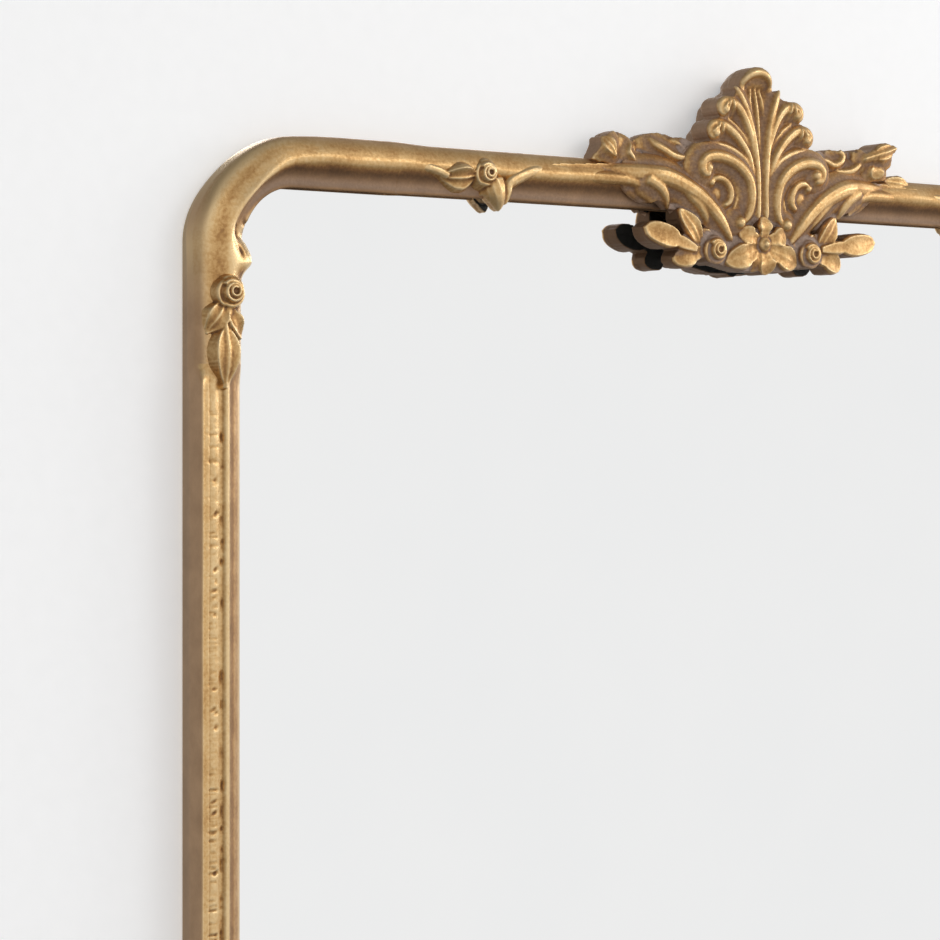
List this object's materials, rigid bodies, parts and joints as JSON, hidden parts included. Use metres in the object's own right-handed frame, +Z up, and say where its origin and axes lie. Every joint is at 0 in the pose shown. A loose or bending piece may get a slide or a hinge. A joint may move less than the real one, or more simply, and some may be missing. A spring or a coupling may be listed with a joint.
{
  "type": "wall mirror",
  "caption": "Wall mirror in a cast brass frame with round corners, a palmette crest over a flower garland and rose sprigs, with turn buttons behind and D-rings to hang by.",
  "frame": {"origin": "midway between the two D-rings, on the wall plane, at the height where the rings bear on their hooks", "axes": "+X to the viewer's right, +Y into the wall so that the glass faces -Y, +Z up"},
  "size_m": [1.016, 0.047, 1.2695],
  "materials": {
    "brass_casting": "antiqued cast brass, bright on the ridges and brown in the hollows",
    "silvered_glass": "silvered float glass",
    "hardboard": "raw hardboard",
    "pine": "planed pine",
    "zinc_steel": "zinc-plated steel",
    "black_rubber": "matt rubber",
    "foam_tape": "closed-cell foam tape"
  },
  "bodies": {
    "frame": {"left_stile": "brass_casting", "right_stile": "brass_casting", "top_rail": "brass_casting", "bottom_rail": "brass_casting", "top_left_corner": "brass_casting", "top_right_corner": "brass_casting", "bottom_right_corner": "brass_casting", "bottom_left_corner": "brass_casting", "top_left_stile_sprig": "brass_casting", "top_left_rail_sprig": "brass_casting", "top_right_stile_sprig": "brass_casting", "top_right_rail_sprig": "brass_casting", "bottom_left_stile_sprig": "brass_casting", "bottom_left_rail_sprig": "brass_casting", "bottom_right_stile_sprig": "brass_casting", "bottom_right_rail_sprig": "brass_casting", "crest_saddle": "brass_casting", "garland": "brass_casting", "palmette": "brass_casting", "left_scroll": "brass_casting", "left_foliage": "brass_casting", "right_scroll": "brass_casting", "right_foliage": "brass_casting", "left_batten": "pine", "right_batten": "pine", "top_batten": "pine", "bottom_batten": "pine", "left_tape": "foam_tape", "right_tape": "foam_tape", "top_tape": "foam_tape", "bottom_tape": "foam_tape", "joint_pins": "zinc_steel", "batten_screws": "zinc_steel", "crest_screws": "zinc_steel", "button_screws": "zinc_steel", "strap_screws": "zinc_steel", "left_strap": "zinc_steel", "right_strap": "zinc_steel", "setting_blocks": "black_rubber", "wall_bumpers": "black_rubber", "mirror_glass": "silvered_glass", "backing_board": "hardboard"},
    "left_turn_button_a": {"left_turn_button_a": "zinc_steel"},
    "left_turn_button_b": {"left_turn_button_b": "zinc_steel"},
    "right_turn_button_a": {"right_turn_button_a": "zinc_steel"},
    "right_turn_button_b": {"right_turn_button_b": "zinc_steel"},
    "top_turn_button_a": {"top_turn_button_a": "zinc_steel"},
    "top_turn_button_b": {"top_turn_button_b": "zinc_steel"},
    "bottom_turn_button_a": {"bottom_turn_button_a": "zinc_steel"},
    "bottom_turn_button_b": {"bottom_turn_button_b": "zinc_steel"},
    "left_ring": {"left_ring": "zinc_steel"},
    "right_ring": {"right_ring": "zinc_steel"}
  },
  "joints": [
    {"name": "left_ring_swing", "type": "hinge", "parent": "frame", "child": "left_ring", "pos_m": [-0.493, -0.00327, -0.0115], "axis": [-1, 0, 0], "range_deg": [0, 170]},
    {"name": "right_ring_swing", "type": "hinge", "parent": "frame", "child": "right_ring", "pos_m": [0.493, -0.00327, -0.0115], "axis": [-1, 0, 0], "range_deg": [0, 170]},
    {"name": "left_turn_button_a_pivot", "type": "hinge", "parent": "frame", "child": "left_turn_button_a", "pos_m": [-0.493, -0.006, 0.062], "axis": [0, 1, 0], "range_deg": [-90, 90]},
    {"name": "left_turn_button_b_pivot", "type": "hinge", "parent": "frame", "child": "left_turn_button_b", "pos_m": [-0.493, -0.006, -0.652], "axis": [0, 1, 0], "range_deg": [-90, 90]},
    {"name": "right_turn_button_a_pivot", "type": "hinge", "parent": "frame", "child": "right_turn_button_a", "pos_m": [0.493, -0.006, 0.062], "axis": [0, 1, 0], "range_deg": [-90, 90]},
    {"name": "right_turn_button_b_pivot", "type": "hinge", "parent": "frame", "child": "right_turn_button_b", "pos_m": [0.493, -0.006, -0.652], "axis": [0, 1, 0], "range_deg": [-90, 90]},
    {"name": "top_turn_button_a_pivot", "type": "hinge", "parent": "frame", "child": "top_turn_button_a", "pos_m": [0.2115, -0.006, 0.285], "axis": [0, 1, 0], "range_deg": [-90, 90]},
    {"name": "top_turn_button_b_pivot", "type": "hinge", "parent": "frame", "child": "top_turn_button_b", "pos_m": [-0.2115, -0.006, 0.285], "axis": [0, 1, 0], "range_deg": [-90, 90]},
    {"name": "bottom_turn_button_a_pivot", "type": "hinge", "parent": "frame", "child": "bottom_turn_button_a", "pos_m": [0.2115, -0.006, -0.875], "axis": [0, 1, 0], "range_deg": [-90, 90]},
    {"name": "bottom_turn_button_b_pivot", "type": "hinge", "parent": "frame", "child": "bottom_turn_button_b", "pos_m": [-0.2115, -0.006, -0.875], "axis": [0, 1, 0], "range_deg": [-90, 90]}
  ]
}
